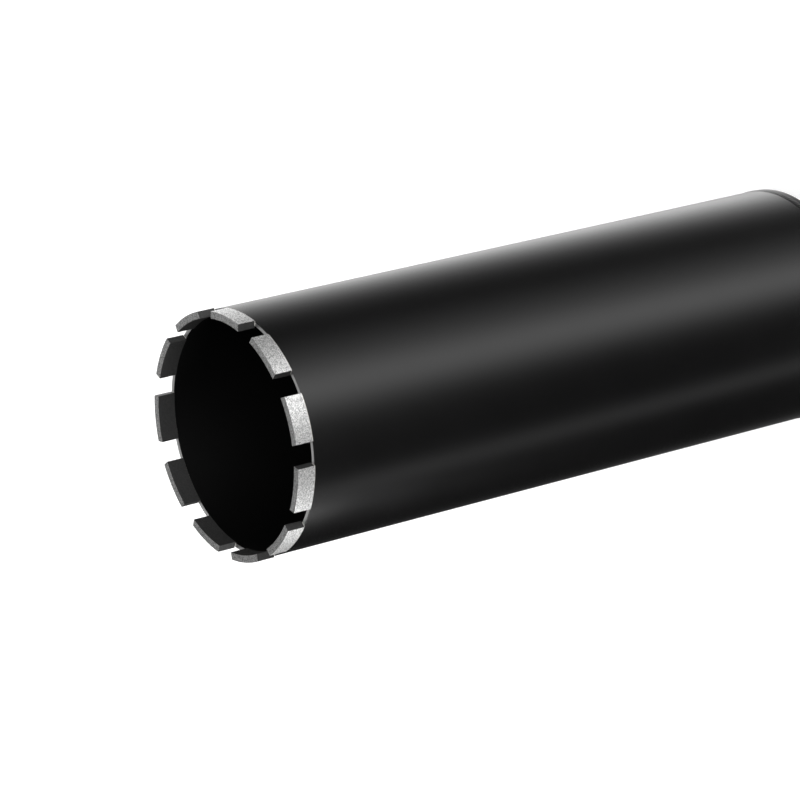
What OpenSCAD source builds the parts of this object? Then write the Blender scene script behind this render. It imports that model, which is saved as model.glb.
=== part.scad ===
// Wet diamond core bit, standing on its threaded hub with the crown up.
// Millimetres, +Z along the drilling axis. The origin is the centre of the hub's end face.

/* [Crown] */
// Cutting diameter over the segments
cut_d = 127; // [102:1:152]
// Number of segments round the rim
seg_count = 11; // [7:1:13]
// Length of a segment, between its parallel ends
seg_len = 24; // [15:0.5:27]
// Radial thickness of a segment
seg_t = 3.8; // [3.6:0.1:5]
// Height of a segment above its brazed seam
seg_h = 9.8; // [6:0.2:15]
// Chamfer on the two curved front edges of a segment
seg_ease = 0.3; // [0.1:0.1:0.8]
// Thickness of the brazed seam under a segment
braze_t = 0.2; // [0.1:0.05:0.4]
// Leg of the braze fillet on the tube's wall, under each overhang
braze_leg = 0.45; // [0.2:0.05:0.5]

/* [Tube] */
// Drilling depth, from the crown down to the end plate
depth = 355.6; // [150:0.1:500]
// Wall thickness
wall = 2.2; // [1.8:0.1:2.4]
// Side clearance: how far a segment stands out past the tube
side_gap = 0.6; // [0.5:0.1:0.8]
// Width of the weld groove round the tube's lower end
groove_w = 4; // [2:0.5:5]
// Wall left at the root of the weld groove
groove_land = 0.6; // [0.4:0.1:1]
// Height of the weld bead above the tube's surface
bead_h = 0.35; // [0.2:0.05:0.45]

/* [End plate] */
// Thickness of the plate under the tube
flange_t = 6; // [5:0.5:12]
// Height of the step that centres the tube
step_h = 4; // [2:0.5:10]
// Radial clearance between the step and the tube
step_fit = 0.1; // [0.05:0.05:0.3]
// Lead-in chamfer round the top of the step
step_ease = 0.5; // [0.2:0.1:1]
// Chamfer round the plate's outer edge
plate_ease = 1.5; // [0.5:0.5:2]

/* [Hub] */
// Spanner size, across the flats
hex_af = 41; // [39:0.5:50]
// Height of the hexagon
hex_h = 24; // [15:1:35]
// Step from the flats in to the round end face
hex_ease = 1; // [0.5:0.25:2]
// How far the collar stands out past the hexagon's corners
collar_lip = 0.5; // [0.2:0.1:3]
// Height of the collar
collar_h = 8; // [5:0.5:14]
// Diameter of the neck that passes through the plate
neck_d = 37; // [34:0.5:39]
// Radial clearance between the neck and the plate
neck_fit = 0.05; // [0.05:0.05:0.2]
// Minor diameter of the female thread
bore_d = 28.2; // [22:0.1:29.4]
// Width of the countersink round each end of the thread
bore_ease = 1.9; // [0.5:0.1:2.1]
// Leg of the fillet weld round the collar
weld_leg = 4; // [2:0.5:6]

/* [Hidden] */
$fn = 180;
SEGMENTS = [for (i = [1:seg_count]) str("segment_", i < 10 ? "0" : "", i)];
BRAZES = [for (i = [1:seg_count]) str("braze_", i < 10 ? "0" : "", i)];

// Radii, from the cut inwards
cut_r = cut_d / 2;
tube_r = cut_r - side_gap;
tube_inner_r = tube_r - wall;
seg_inner_r = cut_r - seg_t;
groove_root_r = tube_inner_r + groove_land;
step_r = tube_inner_r - step_fit;
neck_r = neck_d / 2;
neck_hole_r = neck_r + neck_fit;
hex_r = hex_af / 2 / cos(30);
end_face_r = hex_af / 2 - hex_ease;
collar_r = hex_r + collar_lip;
bore_r = bore_d / 2;

// Heights, from the hub's end face up
plate_z = hex_h + collar_h;
joint_z = plate_z + flange_t;
step_z = joint_z + step_h;
crown_z = step_z + depth;
seam_z = crown_z - seg_h;
rim_z = seam_z - braze_t;

// Angles about the drilling axis. A sweep is longer than a segment by the spare angle
seg_pitch = 360 / seg_count;
spare_angle = 2;
seg_sweep = 2 * asin(seg_len / 2 / seg_inner_r) + spare_angle;

// Circle whose crown makes the weld bead: it passes through both groove edges
bead_r = (groove_w * groove_w / 4 + bead_h * bead_h) / (2 * bead_h);
bead_half_angle = asin(groove_w / 2 / bead_r);
bead_steps = 8;

// Slope of the chamfer that rounds the hexagon's corners at its end face
hex_chamfer_slope = tan(30);
// Small overrun that keeps a cut clear of the face it leaves by
overrun = 1;

// Sweeps a section round one segment's place on the rim, and cuts its two ends parallel
module at_segment(i) {
    rotate([0, 0, (i - 1) * seg_pitch])
        intersection() {
            rotate([0, 0, -seg_sweep / 2])
                rotate_extrude(angle = seg_sweep)
                    children();
            translate([0, -seg_len / 2, joint_z])
                cube([cut_r + overrun, seg_len, crown_z + overrun - joint_z]);
        }
}

// Welded steel tube: square rim at the top, bevelled for the weld at the bottom
module barrel() {
    color("#141414")
        rotate_extrude()
            polygon([
                [tube_inner_r, joint_z],
                [groove_root_r, joint_z],
                [tube_r, joint_z + groove_w / 2],
                [tube_r, rim_z],
                [tube_inner_r, rim_z]
            ]);
}

// Turned plate that closes the tube: its step centres the tube, its hole centres the hub
module end_plate() {
    color("#1b1b1b")
        rotate_extrude()
            polygon([
                [neck_hole_r, plate_z],
                [tube_r - plate_ease, plate_z],
                [tube_r, plate_z + plate_ease],
                [tube_r, joint_z - groove_w / 2],
                [groove_root_r, joint_z],
                [step_r, joint_z],
                [step_r, step_z - step_ease],
                [step_r - step_ease, step_z],
                [neck_hole_r, step_z]
            ]);
}

// Hexagon with its corners turned off at the end face
module hub_hexagon() {
    intersection() {
        cylinder(r = hex_r, h = hex_h, $fn = 6);
        cylinder(r1 = end_face_r, r2 = end_face_r + hex_h / hex_chamfer_slope, h = hex_h);
    }
}

// Turned hub: spanner hexagon, collar that seats on the plate, and neck through the plate
module threaded_hub() {
    color("#262626")
        difference() {
            union() {
                hub_hexagon();
                translate([0, 0, hex_h]) cylinder(r = collar_r, h = collar_h);
                translate([0, 0, plate_z]) cylinder(r = neck_r, h = step_z - plate_z);
            }
            translate([0, 0, -overrun])
                cylinder(r = bore_r, h = step_z + 2 * overrun);
            translate([0, 0, -overrun])
                cylinder(r1 = bore_r + bore_ease + overrun, r2 = bore_r, h = bore_ease + overrun);
            translate([0, 0, step_z - bore_ease])
                cylinder(r1 = bore_r, r2 = bore_r + bore_ease + overrun, h = bore_ease + overrun);
        }
}

// Crowned weld bead that fills the groove between tube and plate
module plate_weld() {
    color("#1b1b1b")
        rotate_extrude()
            polygon(concat(
                [[groove_root_r, joint_z]],
                [for (k = [0:bead_steps]) bead_point(bead_half_angle * (2 * k / bead_steps - 1))]
            ));
}

// Point of the bead's crown at angle a up from the middle of the joint
function bead_point(a) = [
    tube_r + bead_h - bead_r + bead_r * cos(a),
    joint_z + bead_r * sin(a)
];

// Fillet weld between the hub's collar and the plate's underside
module hub_weld() {
    color("#262626")
        rotate_extrude()
            polygon([
                [collar_r, plate_z],
                [collar_r, plate_z - weld_leg],
                [collar_r + weld_leg, plate_z]
            ]);
}

// Diamond segment: an arc block with parallel ends, which overhangs the rim on both sides
module segment(i) {
    color("#a8a8a8")
        at_segment(i)
            polygon([
                [seg_inner_r, seam_z],
                [cut_r, seam_z],
                [cut_r, crown_z - seg_ease],
                [cut_r - seg_ease, crown_z],
                [seg_inner_r + seg_ease, crown_z],
                [seg_inner_r, crown_z - seg_ease]
            ]);
}

// Brazed seam: a thin film on the rim with a fillet under each overhang
module braze(i) {
    color("#c8c8c4")
        at_segment(i)
            polygon([
                [tube_inner_r, rim_z],
                [tube_r, rim_z],
                [tube_r, rim_z - braze_leg],
                [tube_r + braze_leg, seam_z],
                [tube_inner_r - braze_leg, seam_z],
                [tube_inner_r, rim_z - braze_leg]
            ]);
}

barrel();
end_plate();
threaded_hub();
plate_weld();
hub_weld();
for (i = [1:seg_count]) {
    segment(i);
    braze(i);
}
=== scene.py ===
import math
import random

import bmesh
import bpy
from mathutils import Matrix, Quaternion, Vector, noise


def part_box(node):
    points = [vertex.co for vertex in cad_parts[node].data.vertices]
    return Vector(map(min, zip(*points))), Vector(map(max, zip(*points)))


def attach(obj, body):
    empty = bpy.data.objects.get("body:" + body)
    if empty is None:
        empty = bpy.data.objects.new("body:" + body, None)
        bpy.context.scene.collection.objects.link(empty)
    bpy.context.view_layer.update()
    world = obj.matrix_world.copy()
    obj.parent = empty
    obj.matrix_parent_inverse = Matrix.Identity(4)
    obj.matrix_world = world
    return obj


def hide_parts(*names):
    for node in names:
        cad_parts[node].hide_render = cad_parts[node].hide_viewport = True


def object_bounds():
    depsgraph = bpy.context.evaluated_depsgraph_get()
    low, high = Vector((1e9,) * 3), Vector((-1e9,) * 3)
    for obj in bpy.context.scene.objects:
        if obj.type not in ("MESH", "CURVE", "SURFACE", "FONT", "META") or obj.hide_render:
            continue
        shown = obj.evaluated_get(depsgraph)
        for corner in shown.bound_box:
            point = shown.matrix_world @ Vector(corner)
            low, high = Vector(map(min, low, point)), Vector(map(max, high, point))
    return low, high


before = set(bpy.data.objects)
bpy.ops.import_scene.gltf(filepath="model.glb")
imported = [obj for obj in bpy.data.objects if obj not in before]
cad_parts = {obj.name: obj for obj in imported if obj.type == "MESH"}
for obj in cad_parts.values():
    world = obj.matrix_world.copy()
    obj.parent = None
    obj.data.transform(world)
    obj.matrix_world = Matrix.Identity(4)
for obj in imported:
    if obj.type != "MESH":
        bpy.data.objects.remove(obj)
cad_low, cad_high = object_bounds()
mm = 0.001
TURN = 2 * math.pi


# Camera
# The photograph looks down into the open crown from the front. The camera is rolled over
# on its side, so that the standing bit runs off to the right and away.
view_azimuth = math.radians(-8.198)
view_elevation = math.radians(33.995)
view_roll = math.radians(-103.609)
view_distance = 2038.24 * mm
aim_from_crown = Vector((-2.43, 0.42, -106.72)) * mm


def outward(azimuth, elevation):
    """The direction away from the bit at an azimuth and an elevation."""
    return Vector((
        math.sin(azimuth) * math.cos(elevation),
        -math.cos(azimuth) * math.cos(elevation),
        math.sin(elevation),
    ))


towards_camera = outward(view_azimuth, view_elevation)
aim = Vector((0, 0, cad_high.z)) + aim_from_crown
photo_camera = bpy.data.objects.new("photo_camera", bpy.data.cameras.new("photo_camera"))
photo_camera.data.sensor_width = 36
photo_camera.data.lens = 180.46
photo_camera.data.clip_start = 0.05
photo_camera.data.clip_end = 60
photo_camera.location = aim + towards_camera * view_distance
photo_camera.rotation_mode = "QUATERNION"
photo_camera.rotation_quaternion = (
    (-towards_camera).to_track_quat("-Z", "Y") @ Quaternion((0, 0, 1), view_roll)
)
bpy.context.scene.collection.objects.link(photo_camera)
bpy.context.scene.camera = photo_camera


# Barrel
# A steel tube, faced square at the rim and bevelled at the plate end for its weld. It is
# sprayed black, semi-gloss outside and dull inside, and its rim is ground bare for the brazing.
# The black inside is painted darker than outside, as painted shade in the bore.
tube_low, tube_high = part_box("barrel")
tube_r = tube_high.x
rim_z = tube_high.z
joint_z = tube_low.z
wall = 2.2 * mm
tube_inner_r = tube_r - wall
groove_half = 2 * mm
groove_land = 0.6 * mm
rim_ease = 0.12 * mm
rim_painted_edge = 0.3 * mm
around = 288
PAINTED, BARE, BORE = range(3)
gloss_clouds_per_metre = 35
peel_per_metre = 700
scratches_per_radian = 12
lathe_lines_per_metre = 2500
lathe_depth = 0.04 * mm
peel_depth = 0.02 * mm
enamel_blue = 1.03
metal_blue = 0.995
tool_mark_contrast = 0.25
tool_mark_gloss = 0.06


def turn_chain(bm, outline, steps, closed):
    """Turns a chain of (radius, height) points once round the drilling axis."""
    points = [bm.verts.new((r, 0, z)) for r, z in outline]
    links = list(zip(points, points[1:]))
    if closed:
        links.append((points[-1], points[0]))
    sides = [bm.edges.new(link) for link in links]
    bmesh.ops.spin(
        bm, geom=points + sides, cent=(0, 0, 0), axis=(0, 0, 1),
        angle=TURN, steps=steps, use_merge=True,
    )


def turned(outline, steps=around):
    """A solid ring with a closed outline of (radius, height) points."""
    bm = bmesh.new()
    turn_chain(bm, outline, steps, closed=True)
    bmesh.ops.recalc_face_normals(bm, faces=bm.faces)
    return bm


def ease_edges(bm, width, sharper_than=25):
    """Rounds every edge that turns by more than sharper_than degrees."""
    limit = math.radians(sharper_than)
    sharp = [e for e in bm.edges if len(e.link_faces) == 2 and e.calc_face_angle(0) > limit]
    bmesh.ops.bevel(
        bm, geom=sharp, offset=width, offset_type="OFFSET", affect="EDGES",
        segments=3, profile=0.5, material=-1, clamp_overlap=True,
    )


def fit_piece(bm, name, node, materials, crease=35):
    """Makes the mesh a piece of the bit that stands for its CAD node."""
    mesh = bpy.data.meshes.new(name)
    bm.to_mesh(mesh)
    bm.free()
    for material in materials:
        mesh.materials.append(material)
    mesh.shade_smooth()
    mesh.set_sharp_from_angle(angle=math.radians(crease))
    piece = bpy.data.objects.new(name, mesh)
    bpy.context.scene.collection.objects.link(piece)
    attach(piece, "root")
    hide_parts(node)


def feed(tree, node, inputs):
    """Gives each named or numbered input of a node a value or another node's output."""
    for key, value in inputs.items():
        if isinstance(value, bpy.types.NodeSocket):
            tree.links.new(value, node.inputs[key])
        else:
            node.inputs[key].default_value = value


def add_node(tree, kind, inputs):
    """Adds a node and gives it its inputs."""
    node = tree.nodes.new(kind)
    feed(tree, node, inputs)
    return node


def maths(tree, operation, *values):
    """The result of one sum on values and other nodes' outputs."""
    node = add_node(tree, "ShaderNodeMath", dict(enumerate(values)))
    node.operation = operation
    return node.outputs[0]


def remap(tree, value, low, high, to_low, to_high):
    """A value that runs from to_low to to_high while the given one runs from low to high."""
    return add_node(tree, "ShaderNodeMapRange", {
        "Value": value, "From Min": low, "From Max": high, "To Min": to_low, "To Max": to_high,
    }).outputs["Result"]


def clouds(tree, place, per_metre, detail=2.0):
    """Soft noise about 0.5, with so many clouds to the metre."""
    return add_node(tree, "ShaderNodeTexNoise", {
        "Vector": place, "Scale": per_metre, "Detail": detail,
    }).outputs["Fac"]


def greys(tree, mask, low, high, dark, light):
    """A grey that runs from dark to light while the mask runs from low to high."""
    ramp = add_node(tree, "ShaderNodeValToRGB", {"Fac": mask})
    for element, position, level in zip(ramp.color_ramp.elements, (low, high), (dark, light)):
        element.position = position
        element.color = (level, level, level * metal_blue, 1)
    return ramp.outputs["Color"]


def new_effect(name, inputs, outputs):
    """A new node group, with its input sockets and its output sockets by name."""
    tree = bpy.data.node_groups.new(name, "ShaderNodeTree")
    for label, kind, default in inputs:
        tree.interface.new_socket(label, in_out="INPUT", socket_type=kind).default_value = default
    for label, kind in outputs:
        tree.interface.new_socket(label, in_out="OUTPUT", socket_type=kind)
    return tree, tree.nodes.new("NodeGroupInput").outputs, tree.nodes.new("NodeGroupOutput").inputs


def use_effect(tree, effect, inputs):
    """Places a node group and gives back its outputs."""
    node = tree.nodes.new("ShaderNodeGroup")
    node.node_tree = effect
    feed(tree, node, inputs)
    return node.outputs


def make_sprayed_skin():
    """Sprayed enamel: faint orange peel, and a gloss that drifts a little from place to place."""
    tree, given, result = new_effect(
        "sprayed_skin",
        [("Place", "NodeSocketVector", (0, 0, 0)), ("Gloss", "NodeSocketFloat", 0.3),
         ("Drift", "NodeSocketFloat", 0.05)],
        [("Roughness", "NodeSocketFloat"), ("Peel", "NodeSocketFloat")],
    )
    drift = maths(tree, "SUBTRACT", clouds(tree, given["Place"], gloss_clouds_per_metre), 0.5)
    roughness = maths(tree, "MULTIPLY_ADD", drift, given["Drift"], given["Gloss"])
    tree.links.new(roughness, result["Roughness"])
    tree.links.new(clouds(tree, given["Place"], peel_per_metre, detail=1), result["Peel"])
    return tree


def make_arc_scratches():
    """Fine scratches round the drilling axis, as a lathe or a grinding wheel leaves them."""
    tree, given, result = new_effect(
        "arc_scratches",
        [("Place", "NodeSocketVector", (0, 0, 0)), ("Lines per metre", "NodeSocketFloat", 5000)],
        [("Scratches", "NodeSocketFloat")],
    )
    x, y, z = add_node(tree, "ShaderNodeSeparateXYZ", {"Vector": given["Place"]}).outputs
    x_squared = maths(tree, "MULTIPLY", x, x)
    y_squared = maths(tree, "MULTIPLY", y, y)
    radius = maths(tree, "SQRT", maths(tree, "ADD", x_squared, y_squared))
    lanes = add_node(tree, "ShaderNodeCombineXYZ", {
        "X": maths(tree, "MULTIPLY", radius, given["Lines per metre"]),
        "Y": maths(tree, "MULTIPLY", maths(tree, "ARCTAN2", y, x), scratches_per_radian),
        "Z": maths(tree, "MULTIPLY", z, given["Lines per metre"]),
    })
    tree.links.new(clouds(tree, lanes.outputs[0], 1.0), result["Scratches"])
    return tree


sprayed_skin = make_sprayed_skin()
arc_scratches = make_arc_scratches()


def new_finish(name):
    """A new material, its node tree, its shader and its Object coordinates."""
    material = bpy.data.materials.new(name)
    material.use_nodes = True
    tree = material.node_tree
    place = tree.nodes.new("ShaderNodeTexCoord").outputs["Object"]
    return material, tree, tree.nodes["Principled BSDF"], place


def black_enamel(name, level, gloss, lathe_marks=0.0, specular=0.5):
    """Sprayed black paint. Over turned steel the lathe's marks still show through it."""
    material, tree, shader, place = new_finish(name)
    skin = use_effect(tree, sprayed_skin, {"Place": place, "Gloss": gloss})
    marks = use_effect(tree, arc_scratches, {"Place": place, "Lines per metre": lathe_lines_per_metre})
    steel = add_node(tree, "ShaderNodeBump", {
        "Height": marks["Scratches"], "Strength": lathe_marks, "Distance": lathe_depth,
    })
    peel = add_node(tree, "ShaderNodeBump", {
        "Height": skin["Peel"], "Strength": 0.2, "Distance": peel_depth,
        "Normal": steel.outputs["Normal"],
    })
    feed(tree, shader, {
        "Base Color": (level, level, level * enamel_blue, 1),
        "Specular IOR Level": specular,
        "Roughness": skin["Roughness"],
        "Normal": peel.outputs["Normal"],
    })
    return material


def machined_steel(name, level, roughness, lines_per_metre, depth):
    """Bare steel with fine tool marks round the drilling axis."""
    material, tree, shader, place = new_finish(name)
    marks = use_effect(tree, arc_scratches, {"Place": place, "Lines per metre": lines_per_metre})
    bump = add_node(tree, "ShaderNodeBump", {
        "Height": marks["Scratches"], "Strength": 0.6, "Distance": depth,
    })
    dark = level * (1 - tool_mark_contrast)
    light = level * (1 + tool_mark_contrast)
    smooth = roughness - tool_mark_gloss
    rough = roughness + tool_mark_gloss
    feed(tree, shader, {
        "Metallic": 1,
        "Base Color": greys(tree, marks["Scratches"], 0.25, 0.75, dark, light),
        "Roughness": remap(tree, marks["Scratches"], 0.3, 0.7, smooth, rough),
        "Normal": bump.outputs["Normal"],
    })
    return material


tube_enamel = black_enamel("tube_enamel", level=0.002, gloss=0.25)
# The bore's black is darker than the outside's: painted shade inside the tube, on top of its duller
# finish.
shaded_bore_enamel = black_enamel("shaded_bore_enamel", level=0.0008, gloss=0.5, specular=0.1)
bare_rim = machined_steel(
    "bare_rim", level=0.5, roughness=0.42, lines_per_metre=6000, depth=0.02 * mm,
)

barrel = turned([
    (tube_inner_r, joint_z),
    (tube_inner_r + groove_land, joint_z),
    (tube_r, joint_z + groove_half),
    (tube_r, rim_z),
    (tube_r - rim_painted_edge, rim_z),
    (tube_inner_r, rim_z),
])
ease_edges(barrel, rim_ease)
for face in barrel.faces:
    face.material_index = PAINTED
    middle = face.calc_center_median()
    radius = middle.xy.length
    if middle.z > rim_z - 0.1 * rim_ease and radius < tube_r - rim_painted_edge:
        face.material_index = BARE
    elif radius < tube_inner_r + rim_ease and middle.z < rim_z - 0.5 * rim_ease:
        face.material_index = BORE
fit_piece(barrel, "painted_barrel", "barrel", [tube_enamel, bare_rim, shaded_bore_enamel])


# Diamond segments
# Eleven arc blocks of metal powder and diamond grit, pressed and sintered, with parallel ends.
# The outer face is ground bright, the crown is dressed, and the rest keeps its dark skin. These three
# greys are partly painted light and shade: lit on the outer face, half lit on the crown, shaded on the
# rest.
seam_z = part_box("segment_01")[0].z
crown_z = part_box("segment_01")[1].z
cut_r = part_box("segment_01")[1].x
seg_count = 11
seg_pitch = TURN / seg_count
seg_size = Vector((3.8 * mm, 24 * mm, crown_z - seam_z))
seg_middle = Vector((cut_r - seg_size.x / 2, 0, (seam_z + crown_z) / 2))
seg_cell = 0.21 * mm
seg_edge = 0.12 * mm
edge_wear = 0.6
edge_wear_size = 1.3 * mm
skin_depth = 0.0405 * mm
fine_grain = 0.33 * mm
fine_grain_depth = 0.018 * mm
coarse_grain = 1.1 * mm
coarse_grain_depth = 0.0225 * mm
backing_layer = 1.6 * mm
grit_per_area = 1.1 / mm ** 2
grit_radius = (0.09 * mm, 0.17 * mm)
grit_sunk = (0.5, 0.8)
wheel_lines_per_metre = 3500
frost_per_metre = 5000
sinter_gloss = 0.08
GROUND_AND_LIT, DRESSED_AND_HALF_LIT, PRESSED_AND_SHADED, GRIT = range(4)


def segment_block():
    """A straight block cut into small cells: x is its radius, y lies along it, z is its height."""
    bm = bmesh.new()
    bmesh.ops.create_cube(
        bm, size=1, matrix=Matrix.Translation(seg_middle) @ Matrix.Diagonal((*seg_size, 1)),
    )
    bm.normal_update()
    # The faces take three greys of one metal, partly painted light and shade: the outer face lit, the
    # crown half lit, the rest shaded.
    for face in bm.faces:
        face.material_index = PRESSED_AND_SHADED
        if face.normal.x > 0.9:
            face.material_index = GROUND_AND_LIT
        if face.normal.z > 0.9:
            face.material_index = DRESSED_AND_HALF_LIT
    for axis in (1, 2, 0):
        along = [e for e in bm.edges if abs((e.verts[1].co - e.verts[0].co).normalized()[axis]) > 0.99]
        cuts = round(seg_size[axis] / seg_cell) - 1
        bmesh.ops.subdivide_edges(bm, edges=along, cuts=cuts, use_grid_fill=True)
    return bm


def round_block(bm, seed):
    """Pulls the edges and corners in to a round, more in some places than in others."""
    for vert in bm.verts:
        place = vert.co - seg_middle
        wear = noise.noise(place / edge_wear_size + Vector((seed, 0, 0)))
        edge = seg_edge * (1 + edge_wear * wear)
        core = Vector([max(-s / 2 + edge, min(s / 2 - edge, c)) for c, s in zip(place, seg_size)])
        out = place - core
        if out.length > 0:
            vert.co = seg_middle + core + out.normalized() * edge


def bend_to_rim(bm, turn):
    """Curves a straight block to the rim, so that its ends stay flat and parallel, and turns it."""
    for vert in bm.verts:
        vert.co.x = math.sqrt(vert.co.x ** 2 - vert.co.y ** 2)
    bmesh.ops.rotate(bm, verts=bm.verts, cent=(0, 0, 0), matrix=Matrix.Rotation(turn, 3, "Z"))


def roughen(bm):
    """Sinks the faces by a fine grain. The brazed face at the bottom stays flat."""
    bm.normal_update()
    for vert in bm.verts:
        if vert.normal.z > -0.5:
            fine = fine_grain_depth * noise.noise(vert.co / fine_grain)
            coarse = coarse_grain_depth * noise.noise(vert.co / coarse_grain)
            vert.co -= vert.normal * (skin_depth + fine + coarse)


def join_into(bm, other):
    """Moves all of the other bmesh into this one."""
    carrier = bpy.data.meshes.new("carrier")
    other.to_mesh(carrier)
    other.free()
    bm.from_mesh(carrier)
    bpy.data.meshes.remove(carrier)


def set_grit(bm, seed):
    """Sets diamond crystals in the ground and dressed faces, none of them above the full size."""
    dice = random.Random(seed)
    seats = [
        f for f in bm.faces
        if f.material_index != PRESSED_AND_SHADED and f.calc_center_median().z > seam_z + backing_layer
    ]
    count = round(sum(f.calc_area() for f in seats) * grit_per_area)
    grit = bmesh.new()
    for seat in dice.sample(seats, count):
        size = dice.uniform(*grit_radius)
        middle = seat.calc_center_median() - seat.normal * size * dice.uniform(*grit_sunk)
        middle.z = min(middle.z, crown_z - size)
        middle.xy = middle.xy.normalized() * min(middle.xy.length, cut_r - size)
        turn = Quaternion([dice.uniform(-1, 1) for _ in range(4)]).normalized()
        bmesh.ops.create_icosphere(
            grit, subdivisions=1, radius=size,
            matrix=Matrix.Translation(middle) @ turn.to_matrix().to_4x4(),
        )
    for face in grit.faces:
        face.material_index = GRIT
    join_into(bm, grit)


def make_sinter_grain():
    """Sintered powder: light and dark grains as a mask, and pits between them as a height."""
    tree, given, result = new_effect(
        "sinter_grain",
        [("Place", "NodeSocketVector", (0, 0, 0)), ("Grains per metre", "NodeSocketFloat", 2700)],
        [("Grains", "NodeSocketFloat"), ("Height", "NodeSocketFloat")],
    )
    cells = add_node(tree, "ShaderNodeTexVoronoi", {
        "Vector": given["Place"], "Scale": given["Grains per metre"],
    }).outputs
    shade = add_node(tree, "ShaderNodeSeparateColor", {"Color": cells["Color"]}).outputs[0]
    fine = clouds(tree, given["Place"], maths(tree, "MULTIPLY", given["Grains per metre"], 1.6))
    grains = maths(tree, "MULTIPLY_ADD", fine, 0.5, maths(tree, "MULTIPLY", shade, 0.6))
    height = maths(tree, "MULTIPLY_ADD", cells["Distance"], -0.6, fine)
    tree.links.new(grains, result["Grains"])
    tree.links.new(height, result["Height"])
    return tree


sinter_grain = make_sinter_grain()


def sintered_metal(name, dark, light, roughness, grain=0.06 * mm, wheel_marks=0.0, bare=True):
    """Sintered matrix between two greys, with a grinding wheel's marks where it was dressed."""
    material, tree, shader, place = new_finish(name)
    grains = use_effect(tree, sinter_grain, {"Place": place})
    marks = use_effect(tree, arc_scratches, {"Place": place, "Lines per metre": wheel_lines_per_metre})
    mask = maths(tree, "MULTIPLY_ADD", marks["Scratches"], wheel_marks, grains["Grains"])
    shift = 0.5 * wheel_marks
    bump = add_node(tree, "ShaderNodeBump", {
        "Height": grains["Height"], "Strength": 0.5, "Distance": grain,
    })
    rough = roughness + sinter_gloss
    smooth = roughness - sinter_gloss
    feed(tree, shader, {
        "Metallic": 1 if bare else 0,
        "Specular IOR Level": 0.35,
        "Base Color": greys(tree, mask, 0.35 + shift, 0.7 + shift, dark, light),
        "Roughness": remap(tree, mask, 0.2, 0.9, rough, smooth),
        "Normal": bump.outputs["Normal"],
    })
    return material


def diamond_grit():
    """Synthetic diamond, frosted by sintering, so that each crystal is a small dull grain."""
    material, tree, shader, place = new_finish("diamond_grit")
    frost = clouds(tree, place, frost_per_metre, detail=1)
    feed(tree, shader, {
        "Base Color": (0.3, 0.3, 0.28, 1),
        "IOR": 2.42,
        "Roughness": remap(tree, frost, 0.3, 0.7, 0.15, 0.4),
    })
    return material


# Each face group's grey is partly its finish and partly painted light and shade: lit outside, half lit
# on the crown, shaded inside and on the ends.
segment_finish = [
    sintered_metal("ground_lit_matrix", dark=0.4, light=0.97, roughness=0.5),
    sintered_metal("dressed_half_lit_matrix", dark=0.17, light=0.46, roughness=0.5, wheel_marks=0.4),
    sintered_metal(
        "pressed_shaded_matrix", dark=0.016, light=0.027, roughness=0.45, grain=0.02 * mm, bare=False,
    ),
    diamond_grit(),
]
for number in range(1, seg_count + 1):
    segment = segment_block()
    round_block(segment, number)
    bend_to_rim(segment, (number - 1) * seg_pitch)
    roughen(segment)
    set_grit(segment, number)
    node = f"segment_{number:02d}"
    fit_piece(segment, f"diamond_{node}", node, segment_finish, crease=60)


# Brazed seams
# Silver solder that has run between each segment and the rim. It draws itself into a small
# fillet under both overhangs and wets the segment's lower edge, which shows as a thin light line.
braze_leg = 0.38 * mm
braze_wets = 0.06 * mm
braze_reach = 0.58 * mm
hollow_share = 0.75
braze_taper = 0.9 * mm
braze_end_swell = 0.15
braze_steps = 120
flow_per_metre = 900


def seam_outline(steps=6):
    """Half an S on each side of the film: hollow on the tube, then round at the segment's edge."""
    foot = rim_z - braze_leg
    bend = [k / steps for k in range(steps + 1)]
    sides = []
    for wall_r, reach in ((tube_r, braze_reach), (tube_inner_r, -braze_leg)):
        bend_r = wall_r + reach * hollow_share
        crest = reach * (1 - hollow_share)
        side = [(wall_r + (bend_r - wall_r) * t * t, foot + (seam_z - foot) * t) for t in bend]
        side += [(bend_r + crest * math.sin(t * TURN / 4), seam_z + braze_wets * t) for t in bend[1:]]
        sides.append(side)
    outer, inner = sides
    return outer + inner[::-1]


def taper_ends(bm):
    """Draws both fillets in towards the film at the seam's two ends, as the solder runs out."""
    for vert in bm.verts:
        past = max(0, abs(vert.co.y) - seg_size.y / 2 + braze_taper) / braze_taper
        swell = braze_end_swell + (1 - braze_end_swell) * math.sqrt(max(0, 1 - past ** 2))
        for axis, low, high in ((0, tube_inner_r, tube_r), (2, rim_z, seam_z)):
            film = max(low, min(high, vert.co[axis]))
            vert.co[axis] = film + (vert.co[axis] - film) * swell


def bright_braze():
    """Silver solder as it froze, a little uneven in its flow."""
    material, tree, shader, place = new_finish("bright_braze")
    flow = clouds(tree, place, flow_per_metre)
    bump = add_node(tree, "ShaderNodeBump", {"Height": flow, "Strength": 0.5, "Distance": 0.05 * mm})
    feed(tree, shader, {
        "Metallic": 1,
        "Base Color": (0.92, 0.9, 0.86, 1),
        "Roughness": remap(tree, flow, 0.3, 0.7, 0.34, 0.46),
        "Normal": bump.outputs["Normal"],
    })
    return material


braze_finish = [bright_braze()]
for number in range(1, seg_count + 1):
    braze = bmesh.new()
    section = [braze.verts.new((r, -seg_size.y / 2, z)) for r, z in seam_outline()]
    end = braze.faces.new(section)
    bmesh.ops.spin(
        braze, geom=[end, *end.edges, *section], cent=(0, 0, 0), axis=(0, 0, 1), angle=0,
        dvec=(0, seg_size.y / braze_steps, 0), steps=braze_steps,
    )
    taper_ends(braze)
    bend_to_rim(braze, (number - 1) * seg_pitch)
    bmesh.ops.recalc_face_normals(braze, faces=braze.faces)
    node = f"braze_{number:02d}"
    fit_piece(braze, f"silver_{node}", node, braze_finish)


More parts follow.
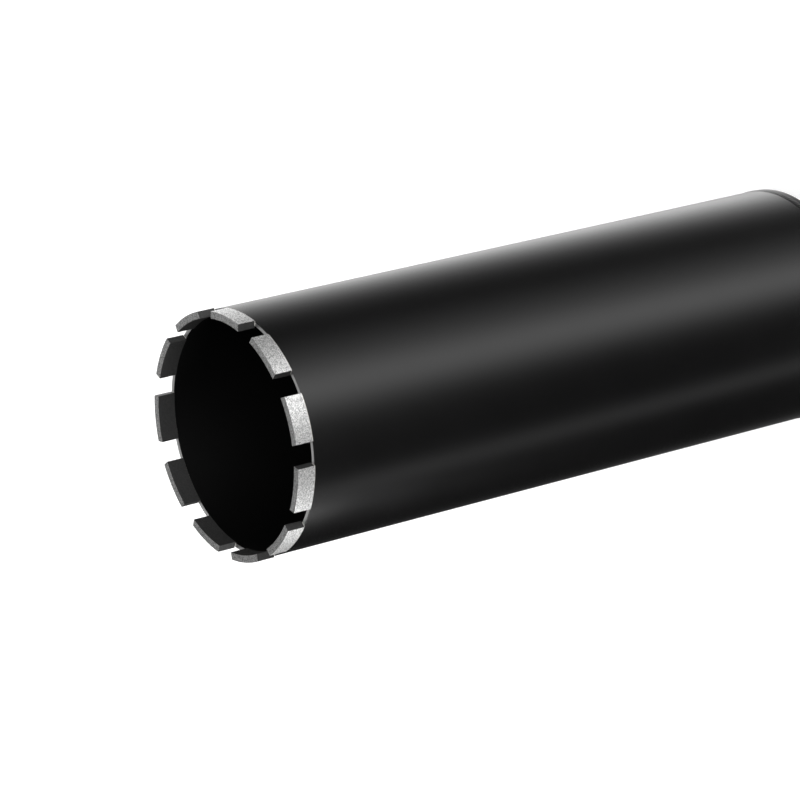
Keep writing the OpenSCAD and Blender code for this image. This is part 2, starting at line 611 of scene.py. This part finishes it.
# End plate
# A turned steel disc that closes the tube. A step on it centres the tube, its rim is bevelled
# for the weld, and it is painted with the tube, so the lathe's rings show under the paint.
plate_low, plate_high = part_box("end_plate")
plate_z = plate_low.z
step_z = plate_high.z
plate_chamfer = 1.5 * mm
plate_ease = 0.2 * mm
step_fit = 0.1 * mm
step_r = tube_inner_r - step_fit
step_lead = 0.5 * mm
neck_r = 18.5 * mm
neck_fit = 0.05 * mm
neck_hole_r = neck_r + neck_fit
plate_enamel = black_enamel("plate_enamel", level=0.006, gloss=0.28, lathe_marks=0.5)

end_plate = turned([
    (neck_hole_r, plate_z),
    (tube_r - plate_chamfer, plate_z),
    (tube_r, plate_z + plate_chamfer),
    (tube_r, joint_z - groove_half),
    (tube_inner_r + groove_land, joint_z),
    (step_r, joint_z),
    (step_r, step_z - step_lead),
    (step_r - step_lead, step_z),
    (neck_hole_r, step_z),
])
ease_edges(end_plate, plate_ease)
fit_piece(end_plate, "painted_end_plate", "end_plate", [plate_enamel])


# Tube weld
# A weld bead that fills the groove between tube and plate. It was laid in short overlapping
# pools while the bit was turned, so it has crescent ripples, and it is painted over.
bead_half = 2.1 * mm
bead_height = 0.3 * mm
bead_bite = 0.05 * mm
bead_fullness = 0.6
bead_sag = 0.06 * mm
ripple_pitch = 1.7 * mm
ripple_depth = 0.13 * mm
ripple_steps = 7
ripple_bow = 2.6
ripple_drift = 2.5
ripple_fade = 0.5
drift_spots = 9
weld_enamel = black_enamel("weld_enamel", level=0.006, gloss=0.3)


def weld_steps(radius):
    """How many steps a bead of this radius is turned in, so that each ripple has ripple_steps."""
    return round(TURN * radius / ripple_pitch) * ripple_steps


def lay_ripples(bm, radius, height, half_width, seed):
    """Sinks crescent valleys into a turned bead, deepest on its crown and uneven along it."""
    count = weld_steps(radius) // ripple_steps
    bm.normal_update()
    shifts = []
    for vert in bm.verts:
        angle = math.atan2(vert.co.y, vert.co.x)
        across = Vector((vert.co.xy.length - radius, vert.co.z - height)).length / half_width
        spot = Vector((math.cos(angle) * drift_spots, math.sin(angle) * drift_spots, seed))
        drift = noise.noise(spot)
        wave = math.cos(count * angle + ripple_bow * across ** 2 + ripple_drift * drift)
        depth = ripple_depth * (0.5 - 0.5 * wave) ** 2 * max(0, 1 - ripple_fade * across ** 2)
        shifts.append(vert.normal * (depth + bead_sag * (0.5 + 0.5 * drift)))
    for vert, shift in zip(bm.verts, shifts):
        vert.co -= shift


def bead_outline(steps=12):
    """The root of the groove, then the crown of the bead from the plate's side to the tube's."""
    outline = [(tube_inner_r + groove_land, joint_z)]
    for k in range(steps + 1):
        across = 2 * k / steps - 1
        crown = (bead_height + bead_bite) * math.cos(across * TURN / 4) ** bead_fullness
        outline.append((tube_r - bead_bite + crown, joint_z + bead_half * across))
    return outline


tube_weld = turned(bead_outline(), weld_steps(tube_r))
lay_ripples(tube_weld, tube_r + bead_height, joint_z, bead_half, seed=1)
fit_piece(tube_weld, "tube_weld", "plate_weld", [weld_enamel])


# Threaded hub
# Turned from round bar: a milled spanner hexagon with its corners turned off, a collar that
# seats on the plate, a neck through it, and a coarse female thread. The thread and the end
# face stay unpainted.
hex_half = 20.5 * mm
hex_top = 24 * mm
hex_corner_r = 23.5 * mm
end_face_r = 19.5 * mm
corner_slope = math.tan(math.radians(30))
collar_r = 24.171 * mm
hub_ease = 0.4 * mm
mouth_r = 16 * mm
mouth_lip = 0.35 * mm
thread_major_r = 15.875 * mm
thread_minor_r = 14.1 * mm
thread_pitch = 25.4 * mm / 7
thread_slope = math.tan(math.radians(60))
thread_row = 0.25 * mm
merge_within = 0.002 * mm
turn_steps = 96
hub_steps = 192
same_height = 0.001 * mm
plane_slack = 0.0001 * mm


def cut_flat(bm, angle):
    """Mills one flat of the hexagon and closes the cut."""
    out = Vector((math.cos(angle), math.sin(angle), 0))
    below = [f for f in bm.faces if f.calc_center_median().z < hex_top]
    geom = {*below, *(e for f in below for e in f.edges), *(v for f in below for v in f.verts)}
    cut = bmesh.ops.bisect_plane(
        bm, geom=list(geom), dist=plane_slack,
        plane_co=out * hex_half, plane_no=out, clear_outer=True,
    )["geom_cut"]
    edges = [e for e in cut if isinstance(e, bmesh.types.BMEdge)]
    points = [v for v in cut if isinstance(v, bmesh.types.BMVert)]
    corners = [v for v in points if v.co.z > hex_top - same_height]
    edges.append(bm.edges.new(corners))
    bmesh.ops.edgeloop_fill(bm, edges=edges)


def open_loop(bm, low, high, height):
    """The open edges at one height that lie between two radii."""
    def on_loop(vert):
        return abs(vert.co.z - height) < same_height and low < vert.co.xy.length < high

    return [e for e in bm.edges if e.is_boundary and all(on_loop(v) for v in e.verts)]


def thread_profile():
    """One pitch of the thread, as (radius, height) points a row apart."""
    flank = (thread_major_r - thread_minor_r) / thread_slope
    root = thread_pitch / 8
    crest = thread_pitch - root - 2 * flank
    corners = [
        (thread_minor_r, 0), (thread_minor_r, crest), (thread_major_r, crest + flank),
        (thread_major_r, crest + flank + root), (thread_minor_r, thread_pitch),
    ]
    points = []
    for (r0, z0), (r1, z1) in zip(corners, corners[1:]):
        rows = max(1, round((z1 - z0) / thread_row))
        points += [(r0 + (r1 - r0) * k / rows, z0 + (z1 - z0) * k / rows) for k in range(rows)]
    return points


def female_thread():
    """The helical wall of the bore, run out into the countersinks at both mouths."""
    bm = bmesh.new()
    pitches = math.ceil(step_z / thread_pitch) + 3
    chain = [
        bm.verts.new((r, 0, z + thread_pitch * (k - 2)))
        for k in range(pitches) for r, z in thread_profile()
    ]
    links = [bm.edges.new(pair) for pair in zip(chain, chain[1:])]
    bmesh.ops.spin(
        bm, geom=chain + links, cent=(0, 0, 0), axis=(0, 0, 1), angle=TURN,
        dvec=(0, 0, thread_pitch / turn_steps), steps=turn_steps,
    )
    bmesh.ops.remove_doubles(bm, verts=bm.verts, dist=merge_within)
    for height, out in ((0, -1), (step_z, 1)):
        bmesh.ops.bisect_plane(
            bm, geom=[*bm.verts, *bm.edges, *bm.faces], dist=plane_slack,
            plane_co=(0, 0, height), plane_no=(0, 0, out), clear_outer=True,
        )
    for vert in bm.verts:
        into_mouth = min(vert.co.z, step_z - vert.co.z)
        radius = max(vert.co.xy.length, mouth_r - into_mouth)
        vert.co.xy = vert.co.xy.normalized() * radius
    return bm


def hub_shell():
    """The outside of the hub, open at the bore."""
    bm = bmesh.new()
    turn_chain(bm, [
        (mouth_r + mouth_lip, 0),
        (end_face_r, 0),
        (hex_corner_r, (hex_corner_r - end_face_r) * corner_slope),
        (hex_corner_r, hex_top),
    ], hub_steps, closed=False)
    for side in range(6):
        cut_flat(bm, (side + 0.5) * TURN / 6)
    turn_chain(bm, [
        (collar_r - hub_ease, hex_top),
        (collar_r, hex_top + hub_ease),
        (collar_r, plate_z),
        (neck_r, plate_z),
        (neck_r, step_z - hub_ease),
        (neck_r - hub_ease, step_z),
        (mouth_r + mouth_lip, step_z),
    ], hub_steps, closed=False)
    between = hex_corner_r + 0.01 * mm
    hexagon_rim = open_loop(bm, end_face_r, between, hex_top)
    collar_rim = open_loop(bm, between, collar_r, hex_top)
    bmesh.ops.bridge_loops(bm, edges=hexagon_rim + collar_rim)
    return bm


hub_enamel = black_enamel("hub_enamel", level=0.006, gloss=0.28, lathe_marks=0.35)
hub_steel = machined_steel(
    "hub_steel", level=0.5, roughness=0.34, lines_per_metre=lathe_lines_per_metre, depth=0.03 * mm,
)

hub = female_thread()
for face in hub.faces:
    face.material_index = BARE
join_into(hub, hub_shell())
for height in (0, step_z):
    bmesh.ops.bridge_loops(hub, edges=open_loop(hub, 0, neck_r, height))
bmesh.ops.recalc_face_normals(hub, faces=hub.faces)
for face in hub.faces:
    if face.calc_center_median().z < same_height:
        face.material_index = BARE
fit_piece(
    hub, "threaded_hub_steel", "threaded_hub", [hub_enamel, hub_steel], crease=25,
)


# Hub weld
# A fillet weld between the hub's collar and the underside of the plate, laid and painted
# like the tube's weld, and slightly hollow across.
fillet_leg = 3.9 * mm
fillet_sag = 0.35 * mm
fillet_r = collar_r + fillet_leg / 2
fillet_z = plate_z - fillet_leg / 2
fillet_half = 0.7 * fillet_leg


def fillet_outline(steps=10):
    """The corner under the plate, then the hollow face from the collar across to the plate."""
    corner = Vector((collar_r, plate_z))
    low = Vector((collar_r, plate_z - fillet_leg))
    far = Vector((collar_r + fillet_leg, plate_z))
    inward = (corner - (low + far) / 2).normalized()
    outline = [corner]
    for k in range(steps + 1):
        sag = fillet_sag * math.sin(k / steps * TURN / 2)
        outline.append(low.lerp(far, k / steps) + inward * sag)
    return outline


hub_weld = turned(fillet_outline(), weld_steps(fillet_r))
lay_ripples(hub_weld, fillet_r, fillet_z, fillet_half, seed=2)
fit_piece(hub_weld, "hub_weld_bead", "hub_weld", [weld_enamel])


# Studio
# A pale floor, one soft lamp at the side, a little lower than the crown, and a dark tent with
# a few patches of light. Its upright strips make the long bands of light on the tube.
scene = bpy.context.scene
scene.view_settings.view_transform = "Standard"
world = bpy.data.worlds.new("light_tent")
scene.world = world
world.use_nodes = True
tent = world.node_tree
tent.nodes.clear()


def vector_maths(tree, operation, *values):
    """The results of one sum on vectors, as a Vector and a Value."""
    node = add_node(tree, "ShaderNodeVectorMath", dict(enumerate(values)))
    node.operation = operation
    return node.outputs


sky = tent.nodes.new("ShaderNodeTexCoord").outputs["Generated"]
level_sky = vector_maths(tent, "MULTIPLY", sky, (1, 1, 0))["Vector"]
level_way = vector_maths(tent, "NORMALIZE", level_sky)["Vector"]
levelness = vector_maths(tent, "DOT_PRODUCT", level_sky, level_sky)["Value"]
tent_wall = maths(tent, "MINIMUM", maths(tent, "MULTIPLY", levelness, 2), 1)


def studio_way(offset, elevation=0):
    """The way offset degrees round from the camera, towards the picture's foot, and raised."""
    return outward(view_azimuth - math.radians(offset), math.radians(elevation))


def glow_towards(way, middle, spread, strength):
    """A patch of light that is brightest in one direction and fades out round it."""
    tightness = 1 / math.radians(spread) ** 2
    facing = vector_maths(tent, "DOT_PRODUCT", way, middle)["Value"]
    fade = maths(tent, "EXPONENT", maths(tent, "MULTIPLY_ADD", facing, tightness, -tightness))
    return maths(tent, "MULTIPLY", fade, strength)


def soft_strip(offset, spread, strength):
    """An upright strip of light on the tent's wall, which fades out overhead and underfoot."""
    strip = glow_towards(level_way, studio_way(offset), spread, strength)
    return maths(tent, "MULTIPLY", strip, tent_wall)


def soft_box(offset, elevation, spread, strength):
    """A round patch of light in the tent."""
    return glow_towards(sky, studio_way(offset, elevation), spread, strength)


dark_tent = 0.004
light = dark_tent
for patch in (
    soft_strip(offset=-21, spread=13, strength=1.7),
    soft_strip(offset=-45, spread=16, strength=0.47),
    soft_strip(offset=69.5, spread=6.5, strength=0.44),
    soft_strip(offset=-146, spread=22, strength=1.55),
    soft_box(offset=0, elevation=42, spread=22, strength=4.2),
    soft_box(offset=0, elevation=-90, spread=14, strength=2.2),
):
    light = maths(tent, "ADD", patch, light)
in_view = tent.nodes.new("ShaderNodeLightPath").outputs["Is Camera Ray"]
tent_light = add_node(tent, "ShaderNodeBackground", {"Color": (1, 1, 1, 1), "Strength": light})
white = add_node(tent, "ShaderNodeBackground", {"Color": (1, 1, 1, 1), "Strength": 1})
pick = add_node(tent, "ShaderNodeMixShader", {
    "Fac": in_view, 1: tent_light.outputs[0], 2: white.outputs[0],
})
add_node(tent, "ShaderNodeOutputWorld", {"Surface": pick.outputs[0]})

lamp_distance = 1.5
lamp_r = 0.3
lamp_level = 16.4
lamp_way = studio_way(offset=85, elevation=-3)
side_lamp = bpy.data.objects.new("side_lamp", bpy.data.lights.new("side_lamp", "AREA"))
side_lamp.data.shape = "DISK"
side_lamp.data.size = 2 * lamp_r
side_lamp.data.energy = lamp_level * 4 * math.pi * lamp_r ** 2
side_lamp.location = Vector((0, 0, crown_z)) + lamp_way * lamp_distance
side_lamp.rotation_mode = "QUATERNION"
side_lamp.rotation_quaternion = (-lamp_way).to_track_quat("-Z", "Y")
side_lamp.visible_camera = False
scene.collection.objects.link(side_lamp)

floor_r = 20
floor_grey = 0.8
floor_glow = 0.4
floor_shape = bmesh.new()
bmesh.ops.create_circle(floor_shape, cap_ends=True, segments=96, radius=floor_r)
floor_mesh = bpy.data.meshes.new("floor")
floor_shape.to_mesh(floor_mesh)
floor_shape.free()
floor = bpy.data.objects.new("floor", floor_mesh)
scene.collection.objects.link(floor)
floor.visible_glossy = False
floor.visible_shadow = False
floor_paint = bpy.data.materials.new("floor_paint")
floor_paint.use_nodes = True
paint = floor_paint.node_tree
paint.nodes.remove(paint.nodes["Principled BSDF"])
matt = add_node(paint, "ShaderNodeBsdfDiffuse", {"Color": (floor_grey, floor_grey, floor_grey, 1)})
in_view = paint.nodes.new("ShaderNodeLightPath").outputs["Is Camera Ray"]
glow = add_node(paint, "ShaderNodeEmission", {"Strength": maths(paint, "MULTIPLY", in_view, floor_glow)})
both = add_node(paint, "ShaderNodeAddShader", {0: matt.outputs[0], 1: glow.outputs[0]})
feed(paint, paint.nodes["Material Output"], {"Surface": both.outputs[0]})
floor_mesh.materials.append(floor_paint)
